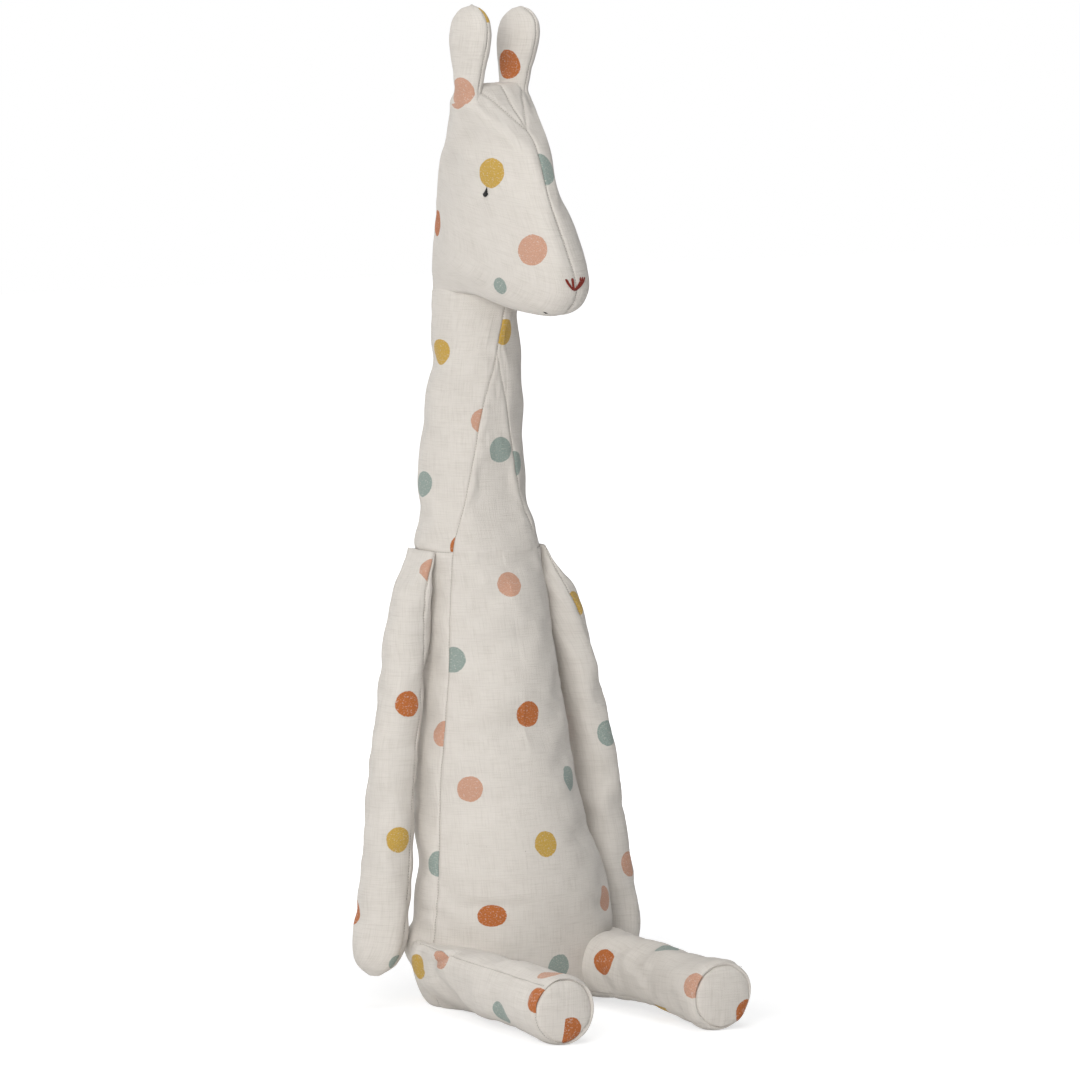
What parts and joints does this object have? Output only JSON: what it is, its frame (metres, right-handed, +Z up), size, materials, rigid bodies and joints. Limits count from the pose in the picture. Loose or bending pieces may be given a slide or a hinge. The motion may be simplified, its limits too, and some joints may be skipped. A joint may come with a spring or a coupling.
{
  "type": "plush giraffe",
  "caption": "Seated stuffed giraffe of dotted linen with a long neck, a turned head, upright ears, hanging arms and forward legs.",
  "frame": {"origin": "middle of the flat seat underside, on the floor", "axes": "+Z up, the toy faces -Y, +X is the toy's own left"},
  "size_m": [0.246, 0.2974, 0.7695],
  "materials": {
    "printed_linen": "matt linen-cotton cloth with slubs, printed with rust, mustard, pink and sage dots",
    "filling": "white polyester fibre filling",
    "dark_thread": "black embroidery thread",
    "red_thread": "dark red embroidery thread"
  },
  "bodies": {
    "torso": {"torso_filling": "filling", "front_gusset": "printed_linen", "neck_panel_left": "printed_linen", "neck_panel_right": "printed_linen", "side_panel_left": "printed_linen", "side_panel_right": "printed_linen", "seat_panel": "printed_linen"},
    "head": {"head_filling": "filling", "head_panel_left": "printed_linen", "head_panel_right": "printed_linen", "crown_gusset_left": "printed_linen", "crown_gusset_right": "printed_linen", "eye_left": "dark_thread", "eye_right": "dark_thread", "nose_stitches": "red_thread", "mouth_stitch": "dark_thread"},
    "ear_left": {"ear_filling_left": "filling", "ear_outer_left": "printed_linen", "ear_inner_left": "printed_linen"},
    "ear_right": {"ear_filling_right": "filling", "ear_outer_right": "printed_linen", "ear_inner_right": "printed_linen"},
    "arm_left": {"arm_filling_left": "filling", "arm_outer_left": "printed_linen", "arm_inner_left": "printed_linen"},
    "arm_right": {"arm_filling_right": "filling", "arm_outer_right": "printed_linen", "arm_inner_right": "printed_linen"},
    "leg_left": {"leg_filling_left": "filling", "leg_outer_left": "printed_linen", "leg_inner_left": "printed_linen", "sole_left": "printed_linen"},
    "leg_right": {"leg_filling_right": "filling", "leg_outer_right": "printed_linen", "leg_inner_right": "printed_linen", "sole_right": "printed_linen"}
  },
  "joints": [
    {"name": "neck_nod", "type": "hinge", "parent": "torso", "child": "head", "pos_m": [0, 0.048, 0.549], "axis": [0.9744, 0.225, 0], "range_deg": [-12, 12]},
    {"name": "ear_fold_left", "type": "hinge", "parent": "head", "child": "ear_left", "pos_m": [0.02796, 0.03803, 0.7017], "axis": [-0.225, 0.9744, 0], "range_deg": [-8, 22]},
    {"name": "ear_fold_right", "type": "hinge", "parent": "head", "child": "ear_right", "pos_m": [-0.02076, 0.02679, 0.7017], "axis": [0.225, -0.9744, 0], "range_deg": [-8, 22]},
    {"name": "shoulder_left", "type": "hinge", "parent": "torso", "child": "arm_left", "pos_m": [0.04849, 0.04656, 0.349], "axis": [0, -1, 0], "range_deg": [0, 95]},
    {"name": "shoulder_right", "type": "hinge", "parent": "torso", "child": "arm_right", "pos_m": [-0.04849, 0.04656, 0.349], "axis": [0, 1, 0], "range_deg": [0, 95]},
    {"name": "hip_left", "type": "hinge", "parent": "torso", "child": "leg_left", "pos_m": [0.065, -0.053, 0.025], "axis": [1, 0, 0], "range_deg": [-10, 85]},
    {"name": "hip_right", "type": "hinge", "parent": "torso", "child": "leg_right", "pos_m": [-0.065, -0.053, 0.025], "axis": [1, 0, 0], "range_deg": [-10, 85]}
  ]
}
